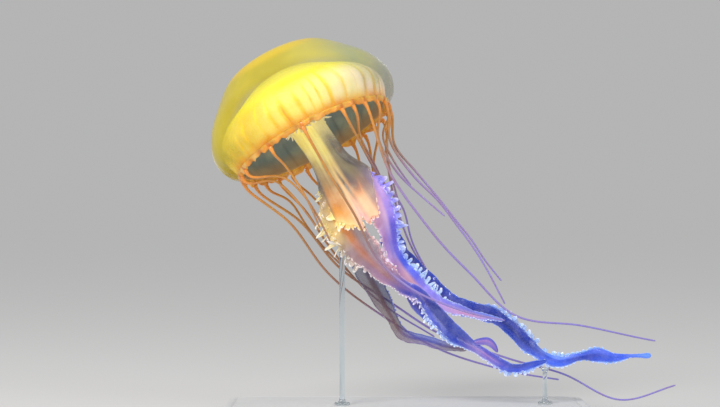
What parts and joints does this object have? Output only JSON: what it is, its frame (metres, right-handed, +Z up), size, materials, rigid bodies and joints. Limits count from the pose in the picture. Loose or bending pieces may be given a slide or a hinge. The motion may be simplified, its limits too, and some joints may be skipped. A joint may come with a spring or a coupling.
{
  "type": "sea nettle jellyfish",
  "caption": "Life-size sea nettle jellyfish on a display stand: domed golden bell tilted in a current, mouth tube, frilled oral arms and thin tentacles trailing to one side.",
  "frame": {"origin": "centre of the underside of the stand's base", "axes": "+X downstream, the way the arms and tentacles trail; +Y to the back of the animal, away from the viewer; +Z up"},
  "size_m": [0.491, 0.1998, 0.3952],
  "materials": {
    "jelly": "wet, clear, tinted",
    "lining": "wet, milky",
    "margin": "wet",
    "mouth_tube": "wet, milky",
    "oral_arm": "wet, thin, milky",
    "tentacle": "wet",
    "stand_base": "satin white",
    "stand_rod": "polished clear acrylic"
  },
  "bodies": {
    "root": {"arm_back_left_1": "oral_arm", "arm_back_left_2": "oral_arm", "arm_back_left_3": "oral_arm", "arm_back_right_1": "oral_arm", "arm_back_right_2": "oral_arm", "arm_back_right_3": "oral_arm", "arm_front_left_1": "oral_arm", "arm_front_left_2": "oral_arm", "arm_front_left_3": "oral_arm", "arm_front_right_1": "oral_arm", "arm_front_right_2": "oral_arm", "arm_front_right_3": "oral_arm", "bell_dome": "jelly", "bell_lining": "lining", "bell_margin": "margin", "manubrium": "mouth_tube", "stand_base": "stand_base", "stand_rod_arms": "stand_rod", "stand_rod_bell": "stand_rod", "tentacle_01_lower": "tentacle", "tentacle_01_upper": "tentacle", "tentacle_02_lower": "tentacle", "tentacle_02_upper": "tentacle", "tentacle_03_lower": "tentacle", "tentacle_03_upper": "tentacle", "tentacle_04": "tentacle", "tentacle_05_lower": "tentacle", "tentacle_05_upper": "tentacle", "tentacle_06_lower": "tentacle", "tentacle_06_upper": "tentacle", "tentacle_07": "tentacle", "tentacle_08": "tentacle", "tentacle_09": "tentacle", "tentacle_10_lower": "tentacle", "tentacle_10_upper": "tentacle", "tentacle_11_lower": "tentacle", "tentacle_11_upper": "tentacle", "tentacle_12": "tentacle", "tentacle_13_lower": "tentacle", "tentacle_13_upper": "tentacle", "tentacle_14": "tentacle", "tentacle_15_lower": "tentacle", "tentacle_15_upper": "tentacle", "tentacle_16": "tentacle", "tentacle_17_lower": "tentacle", "tentacle_17_upper": "tentacle", "tentacle_18_lower": "tentacle", "tentacle_18_upper": "tentacle", "tentacle_19_lower": "tentacle", "tentacle_19_upper": "tentacle", "tentacle_20": "tentacle", "tentacle_21_lower": "tentacle", "tentacle_21_upper": "tentacle", "tentacle_22": "tentacle", "tentacle_23_lower": "tentacle", "tentacle_23_upper": "tentacle", "tentacle_24": "tentacle"}
  },
  "joints": []
}
